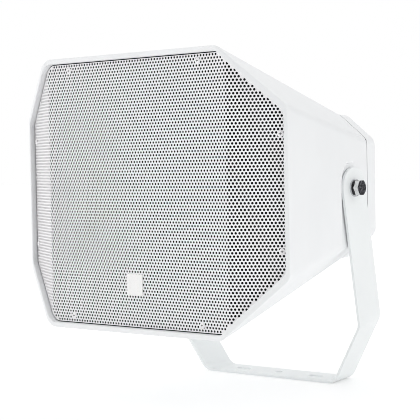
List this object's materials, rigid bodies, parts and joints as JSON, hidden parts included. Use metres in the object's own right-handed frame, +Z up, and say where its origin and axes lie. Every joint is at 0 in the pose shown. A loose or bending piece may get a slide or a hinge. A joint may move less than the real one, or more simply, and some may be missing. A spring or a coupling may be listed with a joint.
{
  "type": "horn speaker",
  "caption": "Outdoor horn speaker: tapered octagonal moulded cabinet with a folded perforated grille and cone driver, tilting in a U-shaped steel mounting bracket.",
  "frame": {"origin": "centre of the underside of the bracket's base strap, in the middle of its centre hole", "axes": "+Z up from the base strap, -Y the way the grille faces at rest, +X along the pivot axis"},
  "size_m": [0.3786, 0.3366, 0.3927],
  "materials": {
    "cabinet_plastic": "fine matte moulded shell, off-white",
    "grille_paint": "white powder coat",
    "bracket_paint": "white powder coat",
    "badge_paint": "white gloss paint, blank",
    "plated_steel": "bright plated steel",
    "insert_brass": "turned",
    "dark_rubber": "matte rubber",
    "friction_fibre": "pressed fibre",
    "screen_cloth": "black open foam and woven cloth",
    "cone_paper": "pulp cone",
    "basket_steel": "black painted pressed steel",
    "magnet_ferrite": "sintered ferrite",
    "coil_copper": "enamelled copper wire",
    "core_steel": "stacked laminations with varnish",
    "gland_nylon": "grey nylon"
  },
  "bodies": {
    "bracket": {"u_bracket": "bracket_paint"},
    "speaker": {"horn_cabinet": "cabinet_plastic", "rear_cover": "cabinet_plastic", "grille": "grille_paint", "grille_screws": "grille_paint", "badge_plate": "badge_paint", "pivot_bolts": "plated_steel", "spring_washers": "plated_steel", "flat_washers": "plated_steel", "rear_cover_screws": "plated_steel", "driver_screws": "plated_steel", "transformer_screws": "plated_steel", "terminal_screws": "plated_steel", "threaded_inserts": "insert_brass", "rear_gasket": "dark_rubber", "gland_seal": "dark_rubber", "driver_gasket": "dark_rubber", "driver_surround": "dark_rubber", "friction_washers": "friction_fibre", "dust_screen": "screen_cloth", "driver_spider": "screen_cloth", "driver_dust_cap": "screen_cloth", "driver_cone": "cone_paper", "driver_basket": "basket_steel", "driver_top_plate": "basket_steel", "driver_yoke": "basket_steel", "driver_magnet": "magnet_ferrite", "voice_coil": "coil_copper", "transformer_winding": "coil_copper", "transformer_core": "core_steel", "gland_body": "gland_nylon", "gland_nut": "gland_nylon", "gland_locknut": "gland_nylon", "terminal_block": "gland_nylon"}
  },
  "joints": [
    {"name": "tilt", "type": "hinge", "parent": "bracket", "child": "speaker", "pos_m": [0, -0.0427, 0.2383], "axis": [-1, 0, 0], "range_deg": [-15, 90]}
  ]
}
